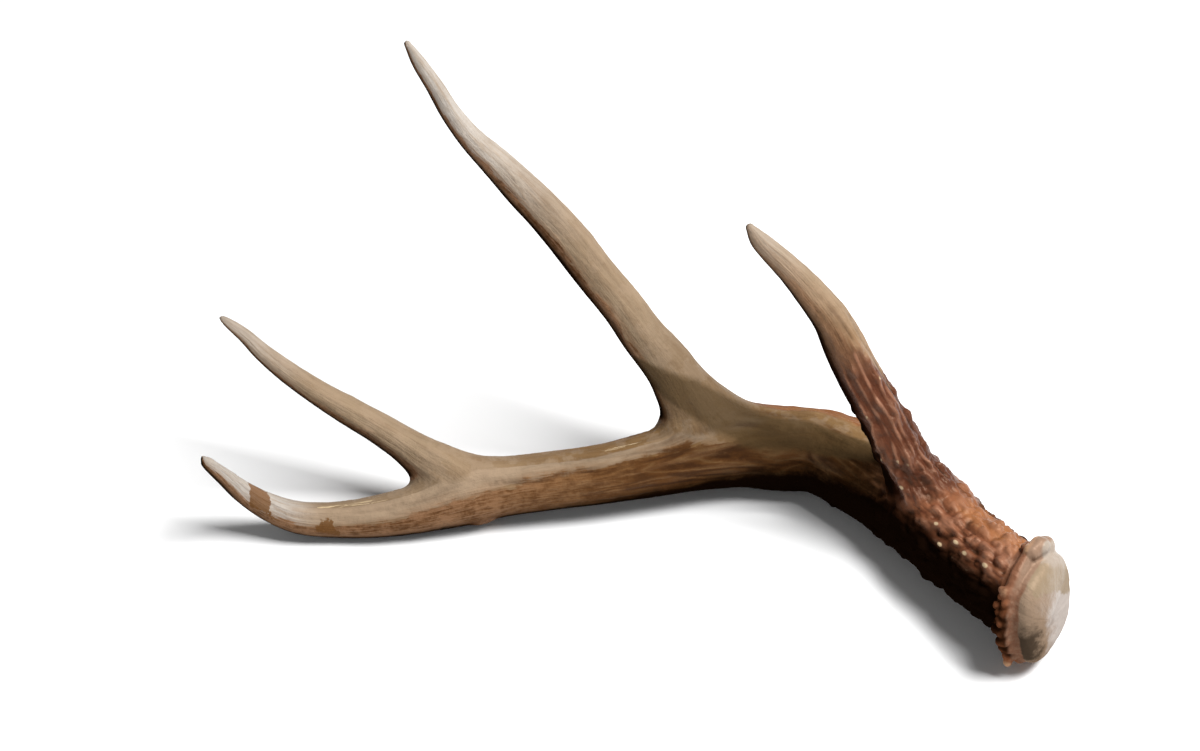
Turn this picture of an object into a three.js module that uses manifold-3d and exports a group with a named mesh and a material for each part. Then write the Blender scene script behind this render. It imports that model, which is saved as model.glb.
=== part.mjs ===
// A shed deer antler of four points, lying as it rests on a level surface: on the lower edge of its
// burr, on the bow of the main beam and on the underside of the beam's front, with its tines up.
// Millimetres, +Z up. The beam runs from the burr at +X round to its tip at -X.
// It grew as one bone. It is split at its main forks, so every limb between forks is a node of its own.
import * as THREE from "three";
import { mergeVertices } from "three/addons/utils/BufferGeometryUtils.js";
import Module from "manifold-3d";

const wasm = await Module();
wasm.setup();

// ---------- driving dimensions ----------
const GAP = 0.3; // what touching nodes keep between them
const RING_STEP = 8; // distance between the rings of a limb's skin
const SIDES = 20; // corners round a limb
const BURR_RADIUS = 25.5; // the rough ring round the foot, without its knobs
const BURR_KNOB = 1.9; // how far its knobs stand out
const BURR_KNOBS = 17;
const BURR_THICKNESS = 7.5;
const SEAL_RADIUS = 21.5; // the pale face where the antler left the skull
const SEAL_BULGE = 9; // how far that face domes out of the burr
const BURR_SIDES = 68;

// Where the middle of the burr is, and the way the seal faces.
const BURR_CENTRE = new THREE.Vector3(165.5, -57, 27.7);
const SEAL_FACES = new THREE.Vector3(0.84, -0.51, 0.17).normalize();

// Each station of a limb is [x, y, z, half width, half depth] of its section, from root to tip. For the
// beam the width is level and the depth upright. For a tine the width is in the plane of its fork.
const BEAM = [
  [166, -59, 28, 18, 18],
  [156.5, -48, 27.5, 18, 18.2],
  [135, -20, 23.5, 18.5, 18.8],
  [116, 8, 20.8, 18.7, 19],
  [98.5, 26.5, 19.3, 19, 19],
  [82, 38, 18.5, 18.5, 18.3],
  [64, 40, 18.3, 18, 18.2],
  [48, 39, 20, 17, 17.5],
  [30, 34.5, 21, 15.5, 16],
  [9, 28.5, 20.5, 13.8, 14.5],
  [-13, 23.5, 19.5, 12.5, 13],
  [-35, 21, 18, 12.4, 12.6],
  [-56, 19, 16, 12.6, 12.8],
  [-74, 15, 14, 12, 12.8],
  [-90, 11, 11.6, 10.2, 11],
  [-107, 8.5, 9.4, 9, 9.2],
  [-124, 7.5, 8.2, 7.7, 7.8],
  [-141, 7, 10, 7, 7],
  [-154, 8, 15.5, 5.9, 5.9],
  [-164.5, 8, 25, 4.7, 4.7],
  [-171.5, 6.5, 36, 3.5, 3.6],
  [-177.5, 4, 47, 2.5, 2.5],
  [-179, 3.5, 51, 1.1, 1.1],
];
const BROW_TINE = [
  [134, -14, 22, 14, 10],
  [131, -8, 28, 15.5, 12.5],
  [123.5, -1, 39, 13.2, 12.4],
  [114, 4, 52, 11, 11],
  [104, 11, 69, 10, 10],
  [95, 17, 84, 9.7, 9.5],
  [88, 22, 97, 8.6, 8.6],
  [81.5, 26, 110, 7.3, 7.5],
  [73, 30, 121, 6.6, 6.6],
  [65, 32, 131, 5.6, 5.6],
  [56.5, 34, 140, 4.7, 4.7],
  [51, 34, 147, 3.7, 3.7],
  [47.5, 34.5, 153.5, 1.6, 1.6],
];
const SECOND_TINE = [
  [38, 36.5, 16, 34, 10],
  [37, 38, 24, 32, 11],
  [32.5, 41, 33, 22, 11.5],
  [25, 45.5, 44.5, 14.4, 11.2],
  [16.5, 50, 58, 11, 10.4],
  [5, 54.5, 73, 9.6, 9.4],
  [-3.5, 59, 85, 9, 8.8],
  [-15, 63.5, 100, 8.9, 8.4],
  [-25, 66.5, 115, 8.9, 8.2],
  [-35, 69.5, 128, 8.3, 7.8],
  [-45, 71.5, 140, 7.9, 7],
  [-55, 72.5, 153, 6.6, 6.2],
  [-65.5, 72.5, 167, 5.1, 5],
  [-73.5, 72.5, 181, 4.2, 4.1],
  [-79.5, 72.5, 195, 3.6, 3.5],
  [-85.5, 72, 208, 2.8, 2.8],
  [-90, 70.5, 220, 1, 1],
];
const THIRD_TINE = [
  [-68, 14, 12, 6, 6],
  [-72, 17, 19, 15, 8],
  [-79.5, 21, 24, 14, 8.2],
  [-88.5, 25, 28, 10.4, 7.8],
  [-97.5, 29, 33, 7.6, 7.2],
  [-108.5, 32, 40, 6.5, 6.6],
  [-121, 34.5, 48, 6, 6.1],
  [-133, 37, 56, 5.2, 5.4],
  [-145, 39, 66, 4.6, 4.6],
  [-155, 41.5, 75, 3.7, 3.7],
  [-162, 43.5, 83, 2.9, 2.9],
  [-168.5, 44, 90, 1.9, 1.9],
  [-171.5, 44.5, 93, 0.8, 0.8],
];

// The beam's forks: a point of the cut across the beam there, and the way the beam runs on.
const BROW_FORK = { at: [131, -15, 24], runs: [-0.55, 0.83, -0.1] };
const SECOND_FORK = { at: [37, 37, 20], runs: [-1, -0.2, 0] };
const THIRD_FORK = { at: [-78, 15, 14], runs: [-1, -0.22, -0.12] };

const UP = new THREE.Vector3(0, 0, 1);
const FORK_NORMAL = new THREE.Vector3(0.15, 1, 0); // across the plane that the tines fork in
const BROW_NORMAL = new THREE.Vector3(0.75, 0.6, 0.25); // across the plane that the brow tine forks in

// ---------- solids ----------
// A closed geometry as a manifold-3d solid.
function solidOf(geometry) {
  const bare = geometry.clone();
  bare.deleteAttribute("normal");
  bare.deleteAttribute("uv");
  const merged = mergeVertices(bare, 1e-4);
  const mesh = new wasm.Mesh({
    numProp: 3,
    vertProperties: new Float32Array(merged.attributes.position.array),
    triVerts: new Uint32Array(merged.index.array),
  });
  return new wasm.Manifold(mesh);
}

// A manifold-3d solid as a geometry with flat faces.
function geometryOf(solid) {
  const mesh = solid.getMesh();
  const stride = mesh.numProp;
  const corners = new Float32Array(mesh.numVert * 3);
  for (let i = 0; i < mesh.numVert; i++) {
    corners.set(mesh.vertProperties.subarray(i * stride, i * stride + 3), i * 3);
  }
  const geometry = new THREE.BufferGeometry();
  geometry.setAttribute("position", new THREE.BufferAttribute(corners, 3));
  geometry.setIndex(new THREE.BufferAttribute(new Uint32Array(mesh.triVerts), 1));
  const faceted = geometry.toNonIndexed();
  faceted.computeVertexNormals();
  return faceted;
}

// A ring of points that turns right-handed about the way along. reach gives a point's distance from the
// centre, across and deep, at each angle. The deep side is the one nearest depthWay.
function ring(centre, along, depthWay, count, reach) {
  const across = along.clone().cross(depthWay).normalize();
  const deep = across.clone().cross(along).normalize();
  return Array.from({ length: count }, (_, j) => {
    const angle = (2 * Math.PI * j) / count;
    const [width, depth] = reach(angle);
    return centre
      .clone()
      .addScaledVector(across, width * Math.cos(angle))
      .addScaledVector(deep, -depth * Math.sin(angle));
  });
}

// The skin over closed rings of points, with a cap at each end.
function skin(rings) {
  const count = rings[0].length;
  const points = rings.flat();
  const faces = [];
  for (let i = 0; i + 1 < rings.length; i++) {
    for (let j = 0; j < count; j++) {
      const a = i * count + j;
      const b = i * count + ((j + 1) % count);
      faces.push(a, b, b + count, a, b + count, a + count);
    }
  }
  const ends = [rings[0], rings[rings.length - 1]].map((ring) => {
    const middle = new THREE.Vector3();
    ring.forEach((p) => middle.addScaledVector(p, 1 / count));
    return points.push(middle) - 1;
  });
  const last = (rings.length - 1) * count;
  for (let j = 0; j < count; j++) {
    const k = (j + 1) % count;
    faces.push(ends[0], k, j, ends[1], last + j, last + k);
  }
  const geometry = new THREE.BufferGeometry().setFromPoints(points);
  geometry.setIndex(faces);
  return geometry;
}

// The value of a smooth line through four neighbouring stations, t of the way from b to c.
function smooth(a, b, c, d, t) {
  const square = t * t;
  const cube = square * t;
  return 0.5 * (2 * b + (c - a) * t + (2 * a - 5 * b + 4 * c - d) * square
    + (3 * b - a - 3 * c + d) * cube);
}

// A limb: oval rings along a smooth line through its stations. depthWay is the way that the half depth
// is measured, and grow makes the limb that much fatter.
function limb(stations, depthWay, grow = 0) {
  const centres = [];
  for (let i = 0; i + 1 < stations.length; i++) {
    const near = [i - 1, i, i + 1, i + 2].map(
      (k) => stations[THREE.MathUtils.clamp(k, 0, stations.length - 1)],
    );
    const length = Math.hypot(...[0, 1, 2].map((k) => near[2][k] - near[1][k]));
    const steps = Math.max(1, Math.round(length / RING_STEP));
    for (let s = 0; s < steps; s++) {
      centres.push(near[0].map((_, k) => smooth(...near.map((station) => station[k]), s / steps)));
    }
  }
  centres.push(stations[stations.length - 1]);
  const rings = centres.map(([x, y, z, halfWidth, halfDepth], i) => {
    const before = new THREE.Vector3(...centres[Math.max(0, i - 1)]);
    const after = new THREE.Vector3(...centres[Math.min(centres.length - 1, i + 1)]);
    const along = after.sub(before).normalize();
    const centre = new THREE.Vector3(x, y, z);
    return ring(centre, along, depthWay, SIDES, () => [halfWidth + grow, halfDepth + grow]);
  });
  return solidOf(skin(rings));
}

// The burr and seal: rings round the way the seal faces. The burr's rim has knobs, and the seal is a
// smooth dome that stands out of it.
function burrAndSeal() {
  const dome = [1, 0.97, 0.88, 0.7, 0.4];
  const profile = [
    { out: -BURR_THICKNESS, radius: BURR_RADIUS - 12, knob: 0 },
    { out: -0.8 * BURR_THICKNESS, radius: BURR_RADIUS - 2, knob: 0.9 },
    { out: -0.45 * BURR_THICKNESS, radius: BURR_RADIUS, knob: 1 },
    { out: -0.1 * BURR_THICKNESS, radius: BURR_RADIUS - 1, knob: 0.8 },
    { out: 0, radius: SEAL_RADIUS + 1, knob: 0.2 },
    ...dome.map((share, i) => ({
      out: 0.6 + (SEAL_BULGE - 0.6) * Math.sin((i / (dome.length - 1)) * (Math.PI / 2)),
      radius: SEAL_RADIUS * share,
      knob: 0,
    })),
  ];
  const rings = profile.map(({ out, radius, knob }) => {
    const centre = BURR_CENTRE.clone().addScaledVector(SEAL_FACES, out);
    return ring(centre, SEAL_FACES, UP, BURR_SIDES, (angle) => {
      const reach = radius + knob * BURR_KNOB * Math.sin(BURR_KNOBS * angle);
      return [reach, reach];
    });
  });
  return solidOf(skin(rings));
}

// Everything past a fork's cut, less half the gap: a large box on that side of it.
function beyond(fork, way) {
  const size = 600;
  const facing = new THREE.Vector3(...fork.runs).normalize().multiplyScalar(way);
  const box = new THREE.BoxGeometry(size, size, size);
  box.applyQuaternion(new THREE.Quaternion().setFromUnitVectors(UP, facing));
  const centre = new THREE.Vector3(...fork.at).addScaledVector(facing, size / 2 + GAP / 2);
  box.translate(centre.x, centre.y, centre.z);
  return solidOf(box);
}

// ---------- the antler ----------
const antler = new THREE.Group();

function addNode(name, solid, colour, roughness) {
  const material = new THREE.MeshStandardMaterial({ color: colour, roughness, metalness: 0 });
  const mesh = new THREE.Mesh(geometryOf(solid), material);
  mesh.name = name;
  antler.add(mesh);
}

const foot = burrAndSeal();
const beam = limb(BEAM, UP);
const beamAndGap = limb(BEAM, UP, GAP);
const trunk = beam.add(foot);

function addBeam() {
  const base = trunk.intersect(beyond(BROW_FORK, -1));
  const lower = beam.intersect(beyond(BROW_FORK, 1)).intersect(beyond(SECOND_FORK, -1));
  const upper = beam.intersect(beyond(SECOND_FORK, 1)).intersect(beyond(THIRD_FORK, -1));
  const tip = beam.intersect(beyond(THIRD_FORK, 1));
  addNode("beam_base", base, 0x7a4a2e, 0.62);
  addNode("beam_lower", lower, 0x6e5038, 0.6);
  addNode("beam_upper", upper, 0x9a8468, 0.55);
  addNode("beam_tip", tip, 0xa8957c, 0.5);
}

function addTine(name, stations, depthWay, colour, roughness) {
  addNode(name, limb(stations, depthWay).subtract(beamAndGap), colour, roughness);
}

addBeam();
addTine("brow_tine", BROW_TINE, BROW_NORMAL, 0x7d5140, 0.6);
addTine("second_tine", SECOND_TINE, FORK_NORMAL, 0xaf9f8b, 0.5);
addTine("third_tine", THIRD_TINE, FORK_NORMAL, 0xa2917a, 0.5);

export default antler;
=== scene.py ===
"""A shed deer antler on a pale floor, resting tines up.

The antler is one mesh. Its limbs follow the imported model's own stations. A rough skin is wrapped round
them, drawn onto the smooth surface that blends them at the forks, and then given its ridges, pearls,
burr and seal. Lengths are millimetres until the mesh is made, because every feature is a few
millimetres across.
"""

import math

import bpy
import numpy as np
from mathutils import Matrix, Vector


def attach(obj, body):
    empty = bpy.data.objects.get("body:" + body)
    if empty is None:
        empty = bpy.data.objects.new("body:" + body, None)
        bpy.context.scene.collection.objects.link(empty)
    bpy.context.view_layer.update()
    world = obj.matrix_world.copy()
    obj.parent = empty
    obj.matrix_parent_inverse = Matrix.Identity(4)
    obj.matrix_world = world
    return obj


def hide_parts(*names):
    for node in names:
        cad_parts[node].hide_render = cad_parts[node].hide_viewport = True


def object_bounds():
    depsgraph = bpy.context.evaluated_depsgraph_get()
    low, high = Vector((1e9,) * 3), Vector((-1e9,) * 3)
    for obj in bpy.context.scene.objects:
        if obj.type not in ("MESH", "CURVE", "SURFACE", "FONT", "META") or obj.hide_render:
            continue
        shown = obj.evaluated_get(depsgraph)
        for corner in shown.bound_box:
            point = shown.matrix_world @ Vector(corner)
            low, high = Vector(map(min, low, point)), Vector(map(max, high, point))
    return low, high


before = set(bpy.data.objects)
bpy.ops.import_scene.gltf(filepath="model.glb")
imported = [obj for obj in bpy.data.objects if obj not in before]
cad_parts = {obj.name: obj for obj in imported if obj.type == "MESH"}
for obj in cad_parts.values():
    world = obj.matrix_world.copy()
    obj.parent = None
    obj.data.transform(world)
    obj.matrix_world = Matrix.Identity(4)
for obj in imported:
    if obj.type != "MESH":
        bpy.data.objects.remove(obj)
cad_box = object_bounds()

MM = 0.001
SEED = 11
GRID_STEP = 1.25
COARSE = 4  # grid steps between the points where the skin is first looked for
MOST_TRIANGLES = 196_000
LINE_STEP = 1.5  # distance between the samples of a limb's centre line
LATTICE_SIZE = 64  # random numbers along each side of the noise's lattice
DRAWING_ROUNDS = 4  # how often the points are evened out and drawn onto the smooth surface
FARTHEST_DRAW = 0.6  # how far a point is drawn at once
CAD_ROOM = 0.02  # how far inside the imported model's box the points stay

UP = np.array([0.0, 0.0, 1.0])
FORK_NORMAL = np.array([0.15, 1.0, 0.0])
BROW_NORMAL = np.array([0.75, 0.6, 0.25])

# --- the limbs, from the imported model's stations: x, y, z, half width, half depth ---
BEAM = [
    (166, -59, 28, 17.4, 17.4),
    (156.5, -48, 28.2, 17.4, 17.8),
    (135, -20, 24.6, 18, 18.5),
    (116, 8, 20.8, 19.1, 18.3),
    (98.5, 26.5, 19.3, 19.3, 18.4),
    (82, 38, 18.5, 18.3, 17.8),
    (64, 40, 18.3, 18, 18.2),
    (48, 39, 20, 17, 17.5),
    (30, 34.5, 21, 15.5, 16),
    (9, 28.5, 20.5, 13.8, 14.5),
    (-13, 23.5, 19.5, 12.5, 13),
    (-35, 21, 18, 12.4, 12.6),
    (-56, 19, 16, 12.6, 12.8),
    (-74, 15, 14, 12, 12.8),
    (-90, 11, 11.6, 10.2, 11),
    (-107, 8.5, 9.4, 9, 9.2),
    (-124, 7.5, 8.2, 7.7, 7.8),
    (-141, 7, 10, 7, 7),
    (-154, 8, 15.5, 5.9, 5.9),
    (-164.5, 8, 25, 4.7, 4.7),
    (-171.5, 6.5, 36, 3.5, 3.6),
    (-177.5, 4, 47, 2.5, 2.5),
    (-178.8, 3.6, 50, 1.3, 1.3),
]
BROW_TINE = [
    (134, -14, 22, 14, 10),
    (130, -8, 28, 14, 12.5),
    (122.5, -1.5, 39, 11.1, 11.3),
    (113.6, 4, 52, 9.8, 10.2),
    (104, 11, 69, 9.3, 9.3),
    (95, 17, 84, 9.2, 9),
    (88, 22, 97, 8.6, 8.6),
    (81.5, 26, 110, 7.3, 7.5),
    (73, 30, 121, 6.6, 6.6),
    (65, 32, 131, 5.6, 5.6),
    (56.5, 34, 140, 4.7, 4.7),
    (51, 34, 147, 3.7, 3.7),
    (47.5, 34.5, 152.8, 1.8, 1.8),
]
SECOND_TINE = [
    (36, 38, 14, 16, 9),
    (34, 40, 25, 15, 11),
    (30, 42, 35, 14, 11.5),
    (23.5, 45.5, 46, 12.4, 11.2),
    (16.5, 50, 58, 10.8, 10.4),
    (5, 54.5, 73, 9.5, 9.4),
    (-3.5, 59, 85, 9, 8.8),
    (-15, 63.5, 100, 8.9, 8.4),
    (-25, 66.5, 115, 8.9, 8.2),
    (-35, 69.5, 128, 8.3, 7.8),
    (-45, 71.5, 140, 7.9, 7),
    (-55, 72.5, 153, 6.6, 6.2),
    (-65.5, 72.5, 167, 5.1, 5),
    (-73.5, 72.5, 181, 4.2, 4.1),
    (-79.5, 72.5, 195, 3.6, 3.5),
    (-85.5, 72, 208, 2.8, 2.8),
    (-89.5, 70.7, 218.5, 1.3, 1.3),
]
THIRD_TINE = [
    (-64, 13, 8, 5, 5),
    (-69, 16, 16, 9, 7),
    (-78.5, 21, 23.5, 10.5, 8.2),
    (-88.5, 25, 28, 10, 7.8),
    (-97.5, 29, 33, 7.6, 7.2),
    (-108.5, 32, 40, 6.5, 6.6),
    (-121, 34.5, 48, 6, 6.1),
    (-133, 37, 56, 5.2, 5.4),
    (-145, 39, 66, 4.6, 4.6),
    (-155, 41.5, 75, 3.7, 3.7),
    (-162, 43.5, 83, 2.9, 2.9),
    (-168.5, 44, 90, 1.9, 1.9),
    (-171, 44.4, 92.4, 1.1, 1.1),
]

SECOND_WEB = [
    (8, 54.5, 66, 5, 6),
    (18, 51, 53, 7.5, 8),
    (30, 46, 41, 9, 9.5),
    (45, 41, 29, 10, 10),
    (60, 40, 22, 9, 10),
    (76, 38, 18, 7, 8),
]

THIRD_WEB = [
    (-94, 27, 31, 3.5, 4),
    (-84, 24, 27, 4.5, 5.5),
    (-73, 21.5, 24.5, 6, 6),
    (-61, 20, 22.5, 6.5, 6.5),
    (-47, 19.5, 19.5, 5, 6),
]

# --- the burr and seal ---
BURR_CENTRE = np.array([165.5, -57.0, 27.7])
SEAL_FACES = np.array([0.84, -0.51, 0.17])
SEAL_FACES = SEAL_FACES / np.linalg.norm(SEAL_FACES)
SEAL_ACROSS = np.cross(SEAL_FACES, UP) / np.linalg.norm(np.cross(SEAL_FACES, UP))
SEAL_HIGH = np.cross(SEAL_ACROSS, SEAL_FACES)
BURR_AXES = np.stack([SEAL_ACROSS, SEAL_HIGH, SEAL_FACES])
SEAL_CENTRE = np.array([-0.4, -1.4, 1.3])
SEAL_HALVES = np.array([19.8, 22.6, 8.0])
BEAM_STOPS = -2.0  # how far out the beam's own skin reaches inside the burr
RING_CENTRE = np.array([0.4, 0.4, -3.4])
RING_HALVES = np.array([21.4, 25.0, 4.2])
BURR_ROOM = 32.0  # how far the burr and seal reach from their centre
BURR_REACH = 50.0  # how far from its centre the burr's field is worked out
# The big knobs stand at places of their own: degrees round the burr, how far past the rim, how far out
# and radius. The first four make the lip at its top.
BIG_KNOBS = [
    (101, 0, -1.8, 3.6), (111, 1.2, -0.6, 4.2), (124, 0.9, -0.6, 4.1), (136, -0.4, -1.4, 3.2),
    (-40, 0.6, -4, 2.8), (-43, 3.4, -4.2, 1.9), (-62, 0, -3, 2.8), (-84, -0.4, -3.4, 2.4),
]
KNOBLESS = (54, 112)  # the degrees round the burr where the beam runs smoothly into its lip
KNOB_ROWS = [(0.1, -3.4, 1.7, 2.7), (-0.8, -6.4, 1.2, 2.3)]  # outset, out, least and greatest radius


# --- small helpers ---
def unit(vectors):
    return vectors / np.linalg.norm(vectors, axis=-1, keepdims=True)


def length(rows):
    return np.linalg.norm(rows, axis=1)


def step(low, high, values):
    """0 below low, 1 above high, smooth in between. low may be the larger."""
    share = np.clip((values - low) / (high - low), 0, 1)
    return share * share * (3 - 2 * share)


def smooth_min(a, b, reach):
    """The lesser of a and b, rounded off where they differ by less than reach."""
    share = np.clip(0.5 + 0.5 * (b - a) / reach, 0, 1)
    return b * (1 - share) + a * share - reach * share * (1 - share)


LATTICE = np.random.default_rng(SEED).random((LATTICE_SIZE,) * 3)


def noise(places):
    """Smooth noise from 0 to 1, one cycle per unit of places, which is n by 3."""
    cell = np.floor(places).astype(int)
    part = places - cell
    part = part * part * (3 - 2 * part)
    total = np.zeros(len(places))
    for corner in np.ndindex(2, 2, 2):
        share = np.prod(np.where(corner, part, 1 - part), axis=1)
        i, j, k = ((cell + corner) % LATTICE_SIZE).T
        total += share * LATTICE[i, j, k]
    return total


def rough_noise(places):
    """Noise from 0 to 1 with a finer and weaker noise added to it."""
    return (noise(places) + noise(places * 2 + 17.3) / 2) / 1.5


# --- limbs ---
class Limb:
    """A limb's smooth centre line with its section at even steps along it."""

    def __init__(self, stations, depth_way, web=0.0, fork=None):
        rows = self.smooth_rows(np.array(stations, float))
        self.web = web
        self.fork = fork
        self.centre = rows[:, :3]
        self.half = rows[:, 3:]
        self.along = unit(np.gradient(self.centre, axis=0))
        self.across = unit(np.cross(self.along, depth_way))
        self.deep = np.cross(self.across, self.along)

    def smooth_rows(self, stations):
        """A smooth curve through the stations, in rows an even distance apart."""
        padded = np.vstack([stations[:1], stations, stations[-1:]])
        shares = np.arange(20)[:, None] / 20
        rows = []
        for a, b, c, d in zip(padded, padded[1:], padded[2:], padded[3:]):
            linear = 2 * b + (c - a) * shares
            curved = (2 * a - 5 * b + 4 * c - d) * shares**2 + (3 * b - a - 3 * c + d) * shares**3
            rows.append(0.5 * (linear + curved))
        rows = np.vstack(rows + [stations[-1:]])
        strides = length(np.diff(rows[:, :3], axis=0))
        travel = np.concatenate([[0], np.cumsum(strides)])
        self.length = travel[-1]
        even = np.linspace(0, self.length, round(self.length / LINE_STEP) + 1)
        return np.stack([np.interp(even, travel, column) for column in rows.T], axis=1)

    def at(self, rows, travel):
        """Rows read at any distance along the limb."""
        place = np.clip(travel / self.length, 0, 1) * (len(rows) - 1)
        low = np.minimum(place.astype(int), len(rows) - 2)
        share = (place - low)[:, None]
        return rows[low] * (1 - share) + rows[low + 1] * share

    def nearest(self, points):
        """Roughly how far along the limb each point is."""
        found = []
        for part in np.array_split(points, max(1, len(points) // 20_000)):
            squared = (self.centre**2).sum(1) - 2 * part @ self.centre.T
            found.append(squared.argmin(1))
        return np.concatenate(found) * self.length / (len(self.centre) - 1)

    def measure(self, points, travel):
        """Each point's gap from the limb's skin, its travel along the limb and its angle round it."""
        for _ in range(3):
            offset = points - self.at(self.centre, travel)
            ahead = (offset * self.at(self.along, travel)).sum(1)
            travel = np.clip(travel + ahead, 0, self.length)
        offset = points - self.at(self.centre, travel)
        past = (offset * self.at(self.along, travel)).sum(1)
        past[(travel > 0) & (travel < self.length)] = 0
        across = (offset * self.at(self.across, travel)).sum(1)
        deep = (offset * self.at(self.deep, travel)).sum(1)
        half = self.at(self.half, travel)
        scaled = np.sqrt((across / half[:, 0]) ** 2 + (deep / half[:, 1]) ** 2 + (past / half.min(1)) ** 2)
        gap = (1 - 1 / np.maximum(scaled, 0.01)) * np.sqrt(across**2 + deep**2 + past**2)
        return gap, travel, np.arctan2(deep, across)

    def place(self, travel, degrees):
        """The point of the limb's skin at a travel along it and an angle round it, and the way along."""
        travel = np.array([float(travel)])
        across, deep = self.at(self.half, travel)[0]
        c, s = math.cos(math.radians(degrees)), math.sin(math.radians(degrees))
        reach = 1 / math.hypot(c / across, s / deep)
        sideways = c * self.at(self.across, travel)[0] + s * self.at(self.deep, travel)[0]
        return self.at(self.centre, travel)[0] + reach * sideways, self.at(self.along, travel)[0]


beam = Limb(BEAM, UP)
brow = Limb(BROW_TINE, BROW_NORMAL, 11, np.array([124, -1, 36]))
second = Limb(SECOND_TINE, FORK_NORMAL, 16, np.array([30, 42, 36]))
second_web = Limb(SECOND_WEB, FORK_NORMAL, 12, np.array([45, 42, 33]))
third = Limb(THIRD_TINE, FORK_NORMAL, 9, np.array([-84, 22, 25]))
third_web = Limb(THIRD_WEB, FORK_NORMAL, 7, np.array([-72, 21, 27]))
LIMBS = [beam, brow, second, second_web, third, third_web]
ON_BEAM, ON_BROW, ON_SECOND, ON_THIRD = 0, 1, 2, 4  # their places in LIMBS; the webs are at 3 and 5
TINES = (ON_BROW, ON_SECOND, ON_THIRD)
WEB_REACH = 32.0  # how far from its fork a web dies out
LEAST_FORK_BLEND, BURR_BLEND, SEAL_BLEND = 1.0, 2.0, 2.4  # how far the skin is rounded at the joins


# --- burr ---
def burr_place(degrees, outset, out):
    """A point by its angle round the burr, how far it is past the ring's rim and how far out it is."""
    c, s = math.cos(math.radians(degrees)), math.sin(math.radians(degrees))
    rim = 1 / math.hypot(c / RING_HALVES[0], s / RING_HALVES[1])
    return np.array([(rim + outset) * c + RING_CENTRE[0], (rim + outset) * s + RING_CENTRE[1], out])


def burr_knobs():
    """The knobs of the burr's rim: where each is in the burr's own frame, and its radius."""
    rng = np.random.default_rng(SEED + 1)
    knobs = [(burr_place(degrees, outset, out), size) for degrees, outset, out, size in BIG_KNOBS]
    for outset, out, least, most in KNOB_ROWS:
        degrees = rng.uniform(0, 9)
        while degrees < 360:
            size = rng.uniform(least, most)
            place = burr_place(degrees, outset + rng.uniform(-0.9, 0.9), out + rng.uniform(-1.4, 1.4))
            if not KNOBLESS[0] < degrees < KNOBLESS[1]:
                knobs.append((place, size))
            degrees += math.degrees(rng.uniform(1.7, 2.3) * size / RING_HALVES[0])
    return knobs


BURR_KNOBS = burr_knobs()


def to_burr_frame(points):
    return (points - BURR_CENTRE) @ BURR_AXES.T


def rounded_gap(places, halves, outline_power, edge_power):
    """The gap from a rounded disc with the given half sizes."""
    scaled = np.abs(places) / halves
    outline = (scaled[:, 0] ** outline_power + scaled[:, 1] ** outline_power) ** (1 / outline_power)
    whole = (outline**edge_power + scaled[:, 2] ** edge_power) ** (1 / edge_power)
    return (1 - 1 / np.maximum(whole, 1e-6)) * length(places)


def burr_gaps(points):
    """The gaps from the seal's dome, and from the ring with its knobs."""
    places = to_burr_frame(points)
    seal = rounded_gap(places - SEAL_CENTRE, SEAL_HALVES, 2.8, 3.0)
    ring = rounded_gap(places - RING_CENTRE, RING_HALVES, 2.0, 3.0)
    for centre, size in BURR_KNOBS:
        knob = length(places - centre) - size
        ring = smooth_min(ring, knob, 0.5 * size)
    return seal, ring


# --- the smooth antler ---
class Field:
    """The gap from the smooth antler's skin, for a set of points that only move a little."""

    def __init__(self, points):
        self.near = [limb.nearest(points) for limb in LIMBS]
        self.by_burr = length(points - BURR_CENTRE) < BURR_REACH

    def limbs(self, points):
        return [limb.measure(points, near) for limb, near in zip(LIMBS, self.near)]

    def gap(self, points):
        gaps = [gap for gap, _, _ in self.limbs(points)]
        total = gaps[0]
        for limb, gap in zip(LIMBS[1:], gaps[1:]):
            away = length(points - limb.fork) / WEB_REACH
            reach = LEAST_FORK_BLEND + limb.web * np.exp(-(away**2))
            total = smooth_min(total, gap, reach)
        seal, ring = burr_gaps(points[self.by_burr])
        past_burr = to_burr_frame(points[self.by_burr])[:, 2] - BEAM_STOPS
        foot = smooth_min(np.maximum(total[self.by_burr], past_burr), ring, BURR_BLEND)
        total[self.by_burr] = smooth_min(foot, seal, SEAL_BLEND)
        return total


def grid_gaps(low, counts):
    """The antler's gap at the points of a grid, worked out fully only near the skin."""
    coarse_counts = -(-counts // COARSE)
    coarse_places = np.indices(coarse_counts).reshape(3, -1).T * COARSE + (COARSE - 1) / 2
    places = low + coarse_places * GRID_STEP
    coarse = Field(places).gap(places).reshape(coarse_counts)
    gaps = coarse
    for axis in range(3):
        gaps = np.repeat(gaps, COARSE, axis)
    gaps = gaps[: counts[0], : counts[1], : counts[2]].copy()
    close = np.argwhere(np.abs(gaps) < 2 * COARSE * GRID_STEP)
    places = low + close * GRID_STEP
    gaps[tuple(close.T)] = Field(places).gap(places)
    for axis in range(3):  # eased, so that no two walls pass through one cell
        gaps = (2 * gaps + np.roll(gaps, 1, axis) + np.roll(gaps, -1, axis)) / 4
    return without_pinches(gaps)


def without_pinches(gaps):
    """Moves the skin off any grid face it would cross twice, so that no edge joins four faces."""
    for _ in range(5):
        for u, v in ((0, 1), (1, 2), (0, 2)):
            inside = gaps < 0
            beside, above = np.roll(inside, -1, u), np.roll(inside, -1, v)
            opposite = np.roll(above, -1, u)
            pinched = (inside == opposite) & (beside == above) & (inside != beside)
            gaps[pinched] *= -0.01
    return gaps


CELL_EDGES = [(a, b) for a in range(8) for b in range(a, 8) if bin(a ^ b).count("1") == 1]


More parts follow.
